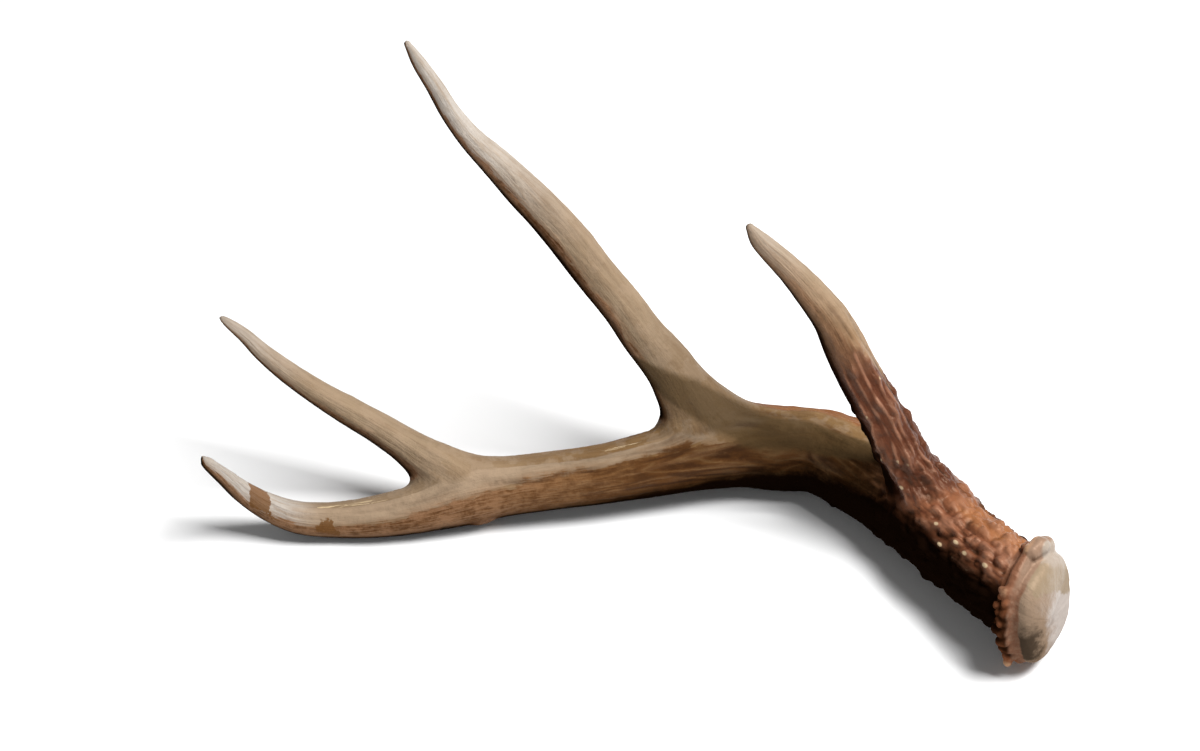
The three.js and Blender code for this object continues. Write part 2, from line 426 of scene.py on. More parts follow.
def surface_net(gaps, low):
    """A closed skin of quads where the gaps change sign: one point in each grid cell crossed."""
    corner_steps = np.array(list(np.ndindex(2, 2, 2)))
    shape = np.array(gaps.shape) - 1
    inside = gaps < 0
    full = sum(inside[i : i + shape[0], j : j + shape[1], k : k + shape[2]] for i, j, k in corner_steps)
    crossed = (full > 0) & (full < 8)
    cells = np.argwhere(crossed)
    names = np.full(crossed.shape, -1)
    names[tuple(cells.T)] = np.arange(len(cells))
    values = gaps[tuple((cells[:, None] + corner_steps).transpose(2, 0, 1))]
    total = np.zeros((len(cells), 3))
    hits = np.zeros(len(cells))
    for a, b in CELL_EDGES:
        crossing = (values[:, a] < 0) != (values[:, b] < 0)
        share = values[crossing, a] / (values[crossing, a] - values[crossing, b])
        total[crossing] += corner_steps[a] + share[:, None] * (corner_steps[b] - corner_steps[a])
        hits[crossing] += 1
    points = low + (cells + total / hits[:, None]) * GRID_STEP
    quads = []
    for axis in range(3):
        _, u, v = np.roll(np.eye(3, dtype=int), -axis, 0)
        edges = np.argwhere(crossed_along(inside, axis))
        ring = [names[tuple((edges - offset).T)] for offset in (0 * u, u, u + v, v)]
        outward = inside[tuple(edges.T)][:, None]
        quads.append(np.where(outward, np.stack(ring, 1), np.stack(ring[::-1], 1)))
    return points, np.vstack(quads)


def crossed_along(inside, axis):
    """Where a grid point and its next one along the axis are on different sides of the skin."""
    ahead = np.roll(inside, -1, axis)
    changed = inside != ahead
    changed[(slice(None),) * axis + (-1,)] = False
    return changed


def new_object(name, points, faces):
    mesh = bpy.data.meshes.new(name)
    mesh.from_pydata(np.asarray(points).tolist(), [], np.asarray(faces).tolist())
    mesh.update()
    piece = bpy.data.objects.new(name, mesh)
    bpy.context.scene.collection.objects.link(piece)
    return piece


def with_modifiers(piece):
    """Puts the result of the piece's modifiers in place of its mesh."""
    graph = bpy.context.evaluated_depsgraph_get()
    mesh = bpy.data.meshes.new_from_object(piece.evaluated_get(graph))
    piece.modifiers.clear()
    old = piece.data
    piece.data = mesh
    bpy.data.meshes.remove(old)


def smooth_antler():
    """The antler's smooth skin, as an object whose quads have been halved once each way."""
    ends = [limb.centre - limb.half.max(1, keepdims=True) for limb in LIMBS]
    ends += [limb.centre + limb.half.max(1, keepdims=True) for limb in LIMBS]
    ends += [[BURR_CENTRE - BURR_ROOM, BURR_CENTRE + BURR_ROOM]]
    low = np.vstack(ends).min(0) - 3
    high = np.vstack(ends).max(0) + 3
    counts = np.ceil((high - low) / GRID_STEP).astype(int)
    points, quads = surface_net(grid_gaps(low, counts), low)
    piece = new_object("antler", points, quads)
    finer = piece.modifiers.new("finer", "SUBSURF")
    finer.levels = 1
    with_modifiers(piece)
    return piece


def read_rows(items, name, width, kind):
    """What a mesh says under one name for each of its points, edges or corners, in rows."""
    flat = np.empty(len(items) * width, kind)
    items.foreach_get(name, flat)
    return flat.reshape(-1, width)


def write_points(mesh, points):
    mesh.vertices.foreach_set("co", points.astype(np.float32).ravel())
    mesh.update()


class Skin:
    """A mesh's corners and neighbours as arrays, to move its points about quickly."""

    def __init__(self, mesh):
        self.count = len(mesh.vertices)
        self.quads = read_rows(mesh.loops, "vertex_index", 1, np.int32).reshape(-1, 4)
        self.edges = read_rows(mesh.edges, "vertices", 2, np.int32)
        self.degree = np.bincount(self.edges.ravel(), minlength=self.count)[:, None]

    def gather(self, targets, values):
        return np.stack([np.bincount(targets, values[:, k], self.count) for k in range(3)], axis=1)

    def normals(self, points):
        a, b, c, d = (points[self.quads[:, k]] for k in range(4))
        facing = np.cross(c - a, d - b)
        total = sum(self.gather(self.quads[:, k], facing) for k in range(4))
        return unit(total + 1e-12)

    def relaxed(self, points, share):
        """Points moved towards the middle of their neighbours, along the surface only."""
        first, other = self.edges.T
        middle = (self.gather(first, points[other]) + self.gather(other, points[first])) / self.degree
        move = middle - points
        facing = self.normals(points)
        return points + share * (move - (move * facing).sum(1)[:, None] * facing)


def draw_onto_surface(points, skin):
    field = Field(points)
    for _ in range(DRAWING_ROUNDS):
        points = skin.relaxed(points, 0.5)
        gap = np.clip(field.gap(points), -FARTHEST_DRAW, FARTHEST_DRAW)
        points = points - gap[:, None] * skin.normals(points)
    return points


# --- relief ---
# How deep the long ridges and the lumps are, by the distance along the limb.
BEAM_RIDGES = [
    (0, 0.3), (25, 0.5), (90, 0.85), (110, 1.05), (165, 1.0), (200, 0.5), (250, 0.28), (414, 0.15),
]
BEAM_LUMPS = [(0, 0.6), (12, 1.2), (70, 1.25), (105, 0.4), (160, 0.2), (240, 0.14), (414, 0.1)]
BROW_RIDGES = [(0, 0.7), (30, 0.65), (100, 0.55), (120, 0.35), (140, 0.22), (166, 0.12)]
BROW_LUMPS = [(0, 1.0), (35, 0.85), (60, 0.4), (110, 0.15), (166, 0.08)]
TINE_RIDGES = [(0, 0.35), (60, 0.3), (150, 0.26), (200, 0.12), (240, 0.08)]
TINE_LUMPS = [(0, 0.12), (240, 0.08)]
# Each tine's ridges and lumps, and how many ridges go round it.
TINE_RELIEF = [
    (ON_BROW, BROW_RIDGES, BROW_LUMPS, 3.0),
    (ON_SECOND, TINE_RIDGES, TINE_LUMPS, 2.2),
    (ON_THIRD, TINE_RIDGES, TINE_LUMPS, 2.0),
]
RELIEF_LIMITS = (-1.6, 1.8)
BROW_RADIUS = 11.0
PEARL_ROOM = 165.0  # how far from the burr the pearls reach
# Long beaded ridges down the brow tine: height, and then travel and degrees along each.
BROW_LINES = [
    (0.9, [(92, 158), (70, 168), (55, 174), (35, 177), (22, 179)]),
    (0.6, [(98, 184), (78, 190), (52, 188), (38, 196)]),
    (0.8, [(88, 236), (68, 231), (50, 246), (33, 239), (22, 244)]),
    (0.6, [(80, 150), (60, 152), (45, 160), (30, 160)]),
    (0.5, [(84, 212), (64, 208), (44, 214)]),
    (0.6, [(90, 20), (60, 30), (30, 22)]),
    (0.6, [(95, 80), (60, 90), (35, 84)]),
    (0.5, [(90, 300), (60, 305), (40, 296)]),
]
# The biggest pearls: travel, degrees, radius, height and how white the tip is.
BEAM_PEARLS = [
    (54, 106, 1.7, 1.3, 0.9), (49, 121, 1.8, 1.4, 1), (42, 138, 1.9, 1.5, 1), (36, 124, 1.9, 1.6, 1),
    (30, 128, 2, 1.6, 1), (19, 125, 2.3, 1.6, 1), (59, 113, 1.5, 1.1, 0.8), (49, 92, 1.6, 0.9, 0.5),
    (29, 105, 1.7, 1, 0.5), (36, 84, 1.6, 0.9, 0.3), (34, 142, 1.8, 1.2, 0.5), (25, 143, 2, 1.3, 0.5),
    (20, 157, 2.1, 1.2, 0.4), (63, 124, 1.5, 1.1, 0.7),
]
BROW_PEARLS = [
    (33, 238, 1.8, 1.4, 1), (41, 202, 1.6, 1, 0.6), (47, 249, 1.4, 1, 0.7), (44, 217, 1.6, 1, 0.7),
    (68, 231, 1.3, 0.9, 0.8), (27, 228, 1.7, 1.2, 0.9), (22, 180, 1.5, 0.9, 0.5), (80, 161, 1.3, 0.7, 0.9),
]


def along_list(rows, travel):
    at, value = np.array(rows).T
    return np.interp(travel, at, value)


def long_ridges(travel, angle, count, seed):
    """Wavy ridges that run along a limb, from -1 in the grooves to 1 on the crests."""
    c, s = np.cos(angle), np.sin(angle)
    drift = noise(np.stack([travel / 17, 1.5 * c + seed, 1.5 * s], 1)) - 0.5
    turned = angle + 0.35 * drift
    round_places = np.stack([count * np.cos(turned), count * np.sin(turned), travel / 75 + seed], 1)
    broad = noise(round_places)
    fine = noise(round_places * [2.1, 2.1, 2.6] + 9.1)
    crest = 1 - np.abs(2 * broad - 1) * 2
    return 0.65 * crest + 0.5 * (2 * fine - 1)


def line_relief(travel, degrees, radius, line):
    """The height and nearness of one long beaded ridge."""
    height, route = line
    at, way = np.array(route[::-1], float).T
    wander = 5 * (noise(np.stack([travel / 9, 0 * travel + at[0], 0 * travel], 1)) - 0.5)
    off = (degrees - np.interp(travel, at, way) - wander + 180) % 360 - 180
    across = np.radians(off) * radius
    ends = step(at[0] - 8, at[0] + 4, travel) * step(at[-1] + 8, at[-1] - 4, travel)
    beads = 0.6 + 0.8 * noise(np.stack([travel / 4.5, 0 * travel + way[0], 0 * travel + 3], 1))
    crest = np.exp(-((across / 1.15) ** 2)) * ends
    return height * crest * beads, crest * beads


def scattered_pearls():
    """Small pearls at random over the beam's foot and the root of the brow tine."""
    rng = np.random.default_rng(SEED + 2)
    found = []
    for limb, count, first, spread in ((beam, 330, 9, 36), (brow, 110, 20, 30)):
        for _ in range(count):
            travel = first + abs(rng.normal(0, spread))
            size = rng.uniform(0.9, 2.0)
            place, along = limb.place(travel, rng.uniform(0, 360))
            found.append((place, along, size, rng.uniform(0.5, 0.85) * size, 0.55 * rng.random() ** 3))
    return found


def pearl_relief(points):
    """The height of the pearls at each point, and how white their tips are."""
    pearls = [(*beam.place(t, a), size, high, white) for t, a, size, high, white in BEAM_PEARLS]
    pearls += [(*brow.place(t, a), size, high, white) for t, a, size, high, white in BROW_PEARLS]
    pearls += scattered_pearls()
    height = np.zeros(len(points))
    tip = np.zeros(len(points))
    rows = np.flatnonzero(length(points - BURR_CENTRE) < PEARL_ROOM)
    near_points = points[rows]
    for place, along, size, high, white in pearls:
        close = np.abs(near_points - place).max(1) < 3.5 * size
        offset = near_points[close] - place
        offset = offset - 0.45 * (offset @ along)[:, None] * along
        away = length(offset) / size
        close = rows[close]
        height[close] = np.maximum(height[close], 1.25 * high * np.exp(-(away**2.2)))
        tip[close] = np.maximum(tip[close], white * np.exp(-((2.0 * away) ** 3)))
    return height, tip


# Where the brown and the nearly black end: degrees from a limb's underside, by the distance along it. The
# nearly black is partly the bone's stain and partly painted shade.
BROWN_SIDES = {
    ON_BEAM: [
        (0, 195), (60, 180), (110, 165), (140, 157), (160, 159), (185, 149), (210, 149),
        (244, 139), (279, 132), (315, 119), (345, 112), (414, 90),
    ],
    ON_BROW: [(0, 200), (60, 192), (76, 182), (94, 146), (122, 104), (150, 84), (166, 64)],
    ON_SECOND: [(0, 20), (50, 45), (70, 68), (110, 78), (145, 78), (180, 76), (240, 66)],
    ON_THIRD: [(0, 20), (40, 62), (90, 68), (135, 60)],
}
BLACK_SIDES = {
    ON_BEAM: [
        (0, 128), (60, 132), (85, 123), (110, 113), (150, 101), (187, 83), (229, 66), (280, 58),
        (340, 60), (414, 50),
    ],
    ON_BROW: [(0, 48), (60, 54), (100, 54), (140, 52), (166, 46)],
    ON_SECOND: [(0, 20), (50, 38), (110, 49), (145, 49), (180, 46), (240, 42)],
    ON_THIRD: [(0, 5), (40, 42), (90, 48), (135, 42)],
}
UNDERSIDES = {ON_BEAM: 265, ON_BROW: 310, ON_SECOND: 345, ON_THIRD: 335}  # degrees of each underside
LIMB_RADIUS = 12.0  # turns degrees round a limb into millimetres, near enough for its colours
# The pale grey band along the beam's ridge, partly the bone's pale grey and partly a painted highlight:
# degrees of its middle and half its width.
BAND_MIDDLE = [(150, 96), (185, 107), (210, 106), (244, 112), (279, 114), (315, 120), (414, 122)]
BAND_HALF = [(150, 4), (185, 7), (210, 8), (244, 12), (279, 17), (330, 24), (414, 30)]
# The painted shade in the hollow at the second fork and along the beam's top: points of its line in
# millimetres, and half its width at each.
FORK_SHADE_LINE = [(104, 18, 38), (75, 31, 36), (50, 33, 40), (25, 37, 53), (3, 44, 64)]
FORK_SHADE_HALVES = [6, 9, 12, 9, 6]
OUTSIDE = -9.0  # well outside the painted fork shade and the ochre patches


def distance_to_line(points, line, halves):
    """How far inside a line's width each point is, as a share of that width."""
    line = np.array(line, float)
    best = np.full(len(points), OUTSIDE)
    for a, b, start, end in zip(line, line[1:], halves, halves[1:]):
        share = np.clip((points - a) @ (b - a) / ((b - a) @ (b - a)), 0, 1)
        away = length(points - a - share[:, None] * (b - a))
        half = start + (end - start) * share
        best = np.maximum(best, 1 - away / half)
    return best


def pebbles(travel, angle, seed):
    """Rounded lumps with sharp valleys between them, about 0 on average, drawn out along the limb."""
    c, s = np.cos(angle), np.sin(angle)
    places = np.stack([3.3 * c + seed, 3.3 * s, travel / 7.5], 1)
    big = np.hypot(2 * noise(places) - 1, 0.16)
    small = np.hypot(2 * noise(places * [2.1, 2.1, 2.4] + 5.5) - 1, 0.16)
    return 2.2 * (big + 0.55 * small - 0.5)


def grey_highlight_band(travel, degrees):
    off = np.abs(degrees - along_list(BAND_MIDDLE, travel))
    half = along_list(BAND_HALF, travel)
    return step(half + 7, half - 2, off) * step(148, 170, travel)


def orange_rim(travel, degrees):
    """The orange edge along the beam's back, at its bend and again above the burr: partly the bone's
    colour, partly a painted highlight on the lit edge.
    """
    low_edge = step(20, 50, degrees)
    at_bend = 0.6 * step(76, 68, degrees) * low_edge * step(172, 150, travel)
    at_foot = step(100, 82, degrees) * low_edge * step(62, 42, travel)
    return np.maximum(at_bend, at_foot)


def ochre_patches(travel, degrees):
    """How many millimetres each point is inside one of the two patches near the beam's tip."""
    slanted = travel + 0.06 * (degrees - 110)
    first = np.minimum(6.0 - np.abs(slanted - 380), (172 - degrees) * 0.12)
    second = np.minimum(5.0 - np.abs(slanted - 350), (degrees - 124) * 0.12)
    return np.maximum(first, np.minimum(second, (186 - degrees) * 0.12))


def flecked_part(travel, degrees):
    """The two stretches of the beam's upper edge that have cream flecks."""
    upper = step(72, 78, degrees) * step(100, 90, degrees)
    by_tip = step(300, 325, travel) * step(356, 350, travel)
    by_fork = 0.75 * step(186, 196, travel) * step(236, 222, travel)
    return upper * np.maximum(by_tip, by_fork)


# What a Surface leaves on the mesh for the material.
MESH_NUMBERS = [
    "side", "under", "band", "red", "fade", "orange", "warm", "fork_shade", "white", "patch", "fleck", "wavy",
    "crest", "lines", "pearl", "rise", "tine_share", "burr_share",
]


class Surface:
    """Where each point of the skin is on its limbs, and everything that is worked out from that."""

    def __init__(self, points):
        self.points = points
        rows = Field(points).limbs(points)
        to_beam, to_brow, to_second, to_second_web, to_third, to_third_web = (gap for gap, _, _ in rows)
        self.travel = [travel for _, travel, _ in rows]
        self.angle = [angle for _, _, angle in rows]
        self.degrees = [np.degrees(angle) % 360 for angle in self.angle]
        tines = np.stack([
            to_brow, np.minimum(to_second, to_second_web + 1), np.minimum(to_third, to_third_web + 2)])
        self.tine = tines.argmin(0)
        nearest = self.tine == np.arange(len(TINES))[:, None]
        self.share = step(-5, 5, to_beam - tines) * nearest  # how much each point is each tine's
        self.tine_share = self.share.max(0)
        self.burr = to_burr_frame(points)
        from_burr = length(points - BURR_CENTRE)
        self.burr_share = step(-11, -8, self.burr[:, 2]) * step(48, 40, from_burr)

    def of_tine(self, values):
        """The values of each point's nearest tine, out of the values of every limb."""
        picked = np.stack([values[limb] for limb in TINES])
        return np.take_along_axis(picked, self.tine[None], 0)[0]

    def blended(self, on_beam, on_brow=0.0, on_second=0.0, on_third=0.0):
        total = on_beam
        for share, values in zip(self.share, (on_brow, on_second, on_third)):
            total = total * (1 - share) + values * share
        return total

    def inside(self, ends):
        """How many millimetres round its limb each point is inside the degrees from the underside."""
        found = []
        for limb, rows in ends.items():
            from_under = np.abs((self.degrees[limb] - UNDERSIDES[limb] + 180) % 360 - 180)
            found.append(np.radians(along_list(rows, self.travel[limb]) - from_under) * LIMB_RADIUS)
        return self.blended(*found)

    def choose_tones(self):
        """Works out where the beam, tines and tips are pale, brown or flecked, where they carry stain, and
        where shade and highlights are painted on them.
        """
        travel, degrees = self.travel[ON_BEAM], self.degrees[ON_BEAM]
        up_brow, up_second, up_third = (self.travel[limb] for limb in TINES)
        self.side = self.inside(BROWN_SIDES)
        # The nearly black underside: partly the bone's stain, partly painted shade.
        self.under = self.inside(BLACK_SIDES)
        self.red = self.blended(step(105, 60, travel), step(134, 80, up_brow))
        self.fade = self.blended(0.0, step(50, 125, up_brow))
        self.warm = self.blended(
            0.2 + 0.8 * step(305, 215, travel), 0.4 * step(130, 100, up_brow),
            0.6 * step(70, 35, up_second), 0.25 * step(45, 20, up_third))
        self.white = self.blended(
            0.9 * step(345, 372, travel), 0.3 * step(125, 160, up_brow),
            0.9 * step(115, 215, up_second), 0.45 * step(90, 130, up_third))
        # The band along the ridge: partly pale bone, partly painted highlight.
        self.band = self.blended(grey_highlight_band(travel, degrees))
        # The orange rim: partly the bone's colour, partly a painted highlight on the lit edge.
        self.orange = self.blended(orange_rim(travel, degrees))
        self.fleck = self.blended(flecked_part(travel, degrees))
        self.patch = np.where(self.tine_share < 0.5, ochre_patches(travel, degrees), OUTSIDE)
        # Where the painted shade of the fork's hollow lies.
        self.fork_shade = distance_to_line(self.points, FORK_SHADE_LINE, FORK_SHADE_HALVES)
        # How strong the painted shade and highlight lines round the bend are.
        by_bend = step(85, 110, travel) * step(250, 190, travel)
        by_side = 0.35 * step(-16, -9, self.side) + 0.6 * step(-4, 2, self.side)
        self.wavy = self.blended(by_bend * by_side)

    def raise_relief(self):
        """Works out the height of the relief, and the nearness of crests, lines and pearls."""
        travel, angle = self.travel[ON_BEAM], self.angle[ON_BEAM]
        crest = long_ridges(travel, angle, 3.6, 3)
        height = crest * along_list(BEAM_RIDGES, travel)
        height += pebbles(travel, angle, 2) * along_list(BEAM_LUMPS, travel)
        for share, (limb, ridge_list, lump_list, count) in zip(self.share, TINE_RELIEF):
            travel, angle = self.travel[limb], self.angle[limb]
            ridges = long_ridges(travel, angle, count, 5 * limb)
            lumps = pebbles(travel, angle, 7 * limb)
            own = ridges * along_list(ridge_list, travel) + lumps * along_list(lump_list, travel)
            height = height * (1 - share) + own * share
            crest = crest * (1 - share) + ridges * share
        on_brow = self.share[TINES.index(ON_BROW)]
        self.lines = np.zeros(len(height))
        for line in BROW_LINES:
            rise, near = line_relief(self.travel[ON_BROW], self.degrees[ON_BROW], BROW_RADIUS, line)
            height += rise * on_brow
            self.lines = np.maximum(self.lines, near * on_brow)
        height = np.clip(height, *RELIEF_LIMITS) * (1 - 0.65 * step(-1, 6, self.under))
        pearls, self.pearl = pearl_relief(self.points)
        small_lumps = rough_noise(self.points / 3) * 2 - 1
        away_from_burr = 1 - self.burr_share
        self.rise = (height + pearls) * away_from_burr + 0.3 * small_lumps * self.burr_share
        self.crest = crest * away_from_burr

    def hold(self, mesh):
        """Leaves what the material needs on the mesh."""
        for name in MESH_NUMBERS:
            layer = mesh.attributes.new(name, "FLOAT", "POINT")
            layer.data.foreach_set("value", getattr(self, name).astype(np.float32))
        beam_grain = grain_place(self.travel[ON_BEAM], self.angle[ON_BEAM], 14.0)
        tine_grain = grain_place(self.of_tine(self.travel), self.of_tine(self.angle), 9.0)
        tine_grain[:, 2] += 1000 * self.tine  # so that no two tines have the same grain
        vectors = {"beam_grain": beam_grain, "tine_grain": tine_grain, "burr_place": self.burr}
        for name, places in vectors.items():
            layer = mesh.attributes.new(name, "FLOAT_VECTOR", "POINT")
            layer.data.foreach_set("vector", places.astype(np.float32).ravel())


def grain_place(travel, angle, radius):
    """Places on a straight limb, so that the grain follows the real one round its bends."""
    return np.stack([radius * np.cos(angle), radius * np.sin(angle), travel], 1)


# --- material ---
PALE = (0.245, 0.177, 0.112)
KHAKI = (0.185, 0.108, 0.046)
# The grey of the ridge's band, which is partly a painted highlight; also the grey of flakes, tips and the
# crests' painted highlight.
GREY_BAND = (0.27, 0.195, 0.128)
DULL_BAND = tuple(0.8 * part for part in GREY_BAND)
BRIGHT_BAND = tuple(1.2 * part for part in GREY_BAND)
BROWN = (0.085, 0.034, 0.010)
LIGHT_BROWN = (0.155, 0.074, 0.027)
BUFF_BROWN = (0.26, 0.14, 0.075)
RED_BROWN = (0.060, 0.017, 0.008)
RED_LIGHT = (0.18, 0.066, 0.031)
# Painted pinkish highlight on the ridge lines and lumps.
PINK_HIGHLIGHT = (0.27, 0.13, 0.078)
# The orange rim: partly the bone's colour, partly a painted highlight on the lit top edge.
ORANGE_BROWN = (0.29, 0.118, 0.042)
# The underside's black: partly the bone's stain, partly painted shade.
BLACK_STAIN_AND_SHADE = (0.0045, 0.0019, 0.0009)
# The painted shade at the second fork; also the colour of the seal's pores.
OLIVE = (0.076, 0.046, 0.019)
WHITISH = (0.44, 0.41, 0.375)
CREAM = (0.46, 0.35, 0.215)
OCHRE = (0.12, 0.052, 0.015)
LIGHT_OCHRE = (0.165, 0.075, 0.026)
# Painted shade for grooves, hollows, the wavy lines and the burr's gaps.
GROOVE_SHADE = (0.024, 0.0085, 0.0035)
KNOB = (0.15, 0.052, 0.022)
KNOB_TIP = (0.40, 0.24, 0.14)
BURR_FACE = (0.15, 0.072, 0.043)
LOBE = (0.26, 0.18, 0.125)
SEAL_PALE = (0.36, 0.315, 0.285)
SEAL_GREY = (0.215, 0.15, 0.102)
SEAL_BEIGE = (0.22, 0.165, 0.105)
# Painted shade on the seal's low inner part.
SEAL_SHADE = (0.024, 0.016, 0.010)
SHINE_TINT = (1.0, 0.72, 0.52)
BUMP_STRENGTH = 0.6
BUMP_DEPTH = 0.0009


class Shader:
    """A bone material and short ways to add nodes to it. It is called s in the functions below."""

    def __init__(self, name):
        self.material = bpy.data.materials.new(name)
        self.material.use_nodes = True
        self.tree = self.material.node_tree
        self.surface = self.tree.nodes["Principled BSDF"]
        places = self.new("TexCoord").outputs["Object"]
        self.streaks = self.grain(2.6, 24, 4, 1.1)
        self.fibres = self.grain(0.9, 9, 2)
        self.blotches = self.noise(places, 95, 4, 0.6)
        self.specks = self.noise(places, 420, 4, 0.62)

    def new(self, kind, numbers=()):
        """A new node, with the given numbers on its inputs."""
        node = self.tree.nodes.new("ShaderNode" + kind)
        for name, number in dict(numbers).items():
            node.inputs[name].default_value = number
        return node

    def feed(self, socket, value):
        """Gives a socket a link, a colour, a number, or the mesh's numbers of a given name."""
        if isinstance(value, str):
            value = self.attribute(value, "Fac")
        if isinstance(value, bpy.types.NodeSocket):
            self.tree.links.new(value, socket)
        elif isinstance(value, tuple) and len(value) == 3 and socket.type == "RGBA":
            socket.default_value = (*value, 1)
        else:
            socket.default_value = value

    def attribute(self, name, output="Vector"):
        node = self.new("Attribute")
        node.attribute_name = name
        return node.outputs[output]

    def maths(self, operation, *values):
        node = self.new("Math")
        node.operation = operation
        for socket, value in zip(node.inputs, values):
            self.feed(socket, value)
        return node.outputs[0]

    def plus(self, first, second):
        return self.maths("ADD", first, second)

    def times(self, first, second):
        return self.maths("MULTIPLY", first, second)

    def scaled(self, value, by, plus):
        return self.maths("MULTIPLY_ADD", value, by, plus)

    def noise(self, vector, scale, detail, roughness, distortion=0):
        numbers = {"Scale": scale, "Detail": detail, "Roughness": roughness, "Distortion": distortion}
        node = self.new("TexNoise", numbers)
        self.feed(node.inputs["Vector"], vector)
        return node.outputs["Fac"]

    def ramp(self, value, low, high, least=0, most=1):
        """least below low and most above high, smooth in between."""
        if low > high:
            low, high, least, most = high, low, most, least
        numbers = {"From Min": low, "From Max": high, "To Min": least, "To Max": most}
        node = self.new("MapRange", numbers)
        node.interpolation_type = "SMOOTHSTEP"
        self.feed(node.inputs["Value"], value)
        return node.outputs[0]

    def mix(self, share, first, second):
        """A colour between two others."""
        node = self.new("Mix")
        node.data_type = "RGBA"
        self.feed(node.inputs[0], share)
        self.feed(node.inputs[6], first)
        self.feed(node.inputs[7], second)
        return node.outputs[2]

    def blend(self, share, first, second):
        """A number between two others."""
        node = self.new("Mix")
        self.feed(node.inputs[0], share)
        self.feed(node.inputs[2], first)
        self.feed(node.inputs[3], second)
        return node.outputs[0]

    def grain(self, across, along, detail=3, distortion=0):
        """Noise drawn out along the limbs, across and along being the size of its cells."""
        patterns = []
        for name in ("beam_grain", "tine_grain"):
            stretched = self.new("Mapping", {"Scale": (1 / across, 1 / across, 1 / along)})
            self.feed(stretched.inputs["Vector"], self.attribute(name))
            patterns.append(self.noise(stretched.outputs[0], 1, detail, 0.6, distortion))
        return self.blend(self.ramp("tine_share", 0.35, 0.65), *patterns)


def wavy_lines(s):
    """How strong the wandering lines of painted shade and painted highlight are that follow the beam round
    its bend, in place of its grooves and ridges.
    """
    pattern = s.grain(9, 60, 1.5, 0.7)
    level = s.maths("FRACT", s.times(pattern, 6))
    off = s.maths("ABSOLUTE", s.maths("SUBTRACT", level, 0.5))
    shown = s.times(s.ramp(s.grain(4, 16), 0.32, 0.52), "wavy")
    dark = s.times(s.ramp(off, 0.36, 0.06, 0, 0.7), shown)
    light = s.times(s.ramp(off, 0.34, 0.5, 0, 0.35), shown)
    return dark, light


def pale_ground(s):
    """The streaky pale bone, the grey band along the beam's ridge, partly the bone's pale grey and partly
    a painted highlight, and the whitish tips.
    """
    ground = s.mix("warm", PALE, KHAKI)
    colour = s.mix(s.ramp(s.streaks, 0.35, 0.7), ground, s.mix(0.24, ground, BROWN))
    flakes = s.scaled(s.specks, 0.25, s.blotches)
    colour = s.mix(s.ramp(flakes, 0.58, 0.70, 0, 0.5), colour, GREY_BAND)
    # The band along the ridge, partly pale bone and partly painted highlight.
    band = s.plus("band", s.scaled(s.streaks, 0.9, -0.45))
    pale_band = s.mix(s.ramp(s.fibres, 0.3, 0.7), DULL_BAND, GREY_BAND)
    pale_band = s.mix(s.ramp("warm", 0.9, 0.3, 0, 0.8), pale_band, BRIGHT_BAND)
    colour = s.mix(s.ramp(band, 0.3, 0.65), colour, pale_band)
    white = s.times("white", s.ramp(s.blotches, 0.2, 0.6, 0.65, 1))
    return s.mix(white, colour, s.mix(s.ramp(s.streaks, 0.4, 0.7, 0, 0.6), WHITISH, GREY_BAND))


def brown_sides(s, colour, mottles):
    """The brown of the sides, reddish by the burr and thinning out up the brow tine."""
    edge = s.plus("side", s.scaled(s.blotches, 9, -4.5))
    edge = s.plus(edge, s.scaled(s.streaks, 9, -4.5))
    edge = s.times(edge, s.ramp("fade", 0, 0.6, 1, 0.3))
    light_brown = s.mix("warm", BUFF_BROWN, LIGHT_BROWN)
    shaded = s.scaled("wavy", -0.17, mottles)
    mottled = s.mix(s.ramp(shaded, 0.56, 0.86), BROWN, light_brown)
    reddish = s.mix(s.ramp(mottles, 0.5, 0.86), RED_BROWN, RED_LIGHT)
    reddish = s.mix(s.ramp("tine_share", 0.5, 1, 0, 0.85), reddish, RED_BROWN)
    brown = s.mix("red", mottled, reddish)
    colour = s.mix(s.ramp(edge, -5, 1.6, 0, 0.45), colour, light_brown)
    covering = s.ramp("fade", 0.3, 1, 1, 0.6)
    return s.mix(s.times(s.ramp(edge, -0.6, 1.2), covering), colour, brown)


def crests_and_grooves(s, colour):
    """Painted highlight on the crests, painted shade in the grooves, and the wandering lines of painted
    shade and highlight round the bend.
    """
    crest = s.scaled("crest", 0.6, s.scaled(s.fibres, 0.8, -0.4))
    # Painted highlight on the crests.
    crest_highlight = s.mix("red", GREY_BAND, RED_LIGHT)
    colour = s.mix(s.ramp(crest, 0.1, 0.8, 0, 0.18), colour, crest_highlight)
    # Lines of painted highlight and painted shade round the bend.
    groove_shade_lines, ridge_highlight_lines = wavy_lines(s)
    colour = s.mix(ridge_highlight_lines, colour, KHAKI)
    colour = s.mix(groove_shade_lines, colour, GROOVE_SHADE)
    # Painted shade in the grooves.
    depth = s.ramp(crest, -0.1, -0.75, 0, 0.7)
    return s.mix(s.times(depth, s.ramp("side", -6, 3, 0.2, 1)), colour, GROOVE_SHADE)


def fork_shade_and_orange_rim(s, colour):
    """The painted shade in the hollow at the second fork, and the orange rim of the beam, partly the
    bone's colour and partly a painted highlight on its lit top edge.
    """
    # Painted shade in the hollow at the second fork.
    fork_shade = s.plus("fork_shade", s.scaled(s.blotches, 0.6, -0.3))
    colour = s.mix(s.ramp(fork_shade, 0, 0.4, 0, 0.85), colour, OLIVE)
    # The orange rim, partly the bone's colour and partly a painted highlight.
    orange = s.times("orange", s.ramp(s.blotches, 0.3, 0.5, 0.6, 1))
    return s.mix(orange, colour, s.mix(s.fibres, ORANGE_BROWN, RED_LIGHT))


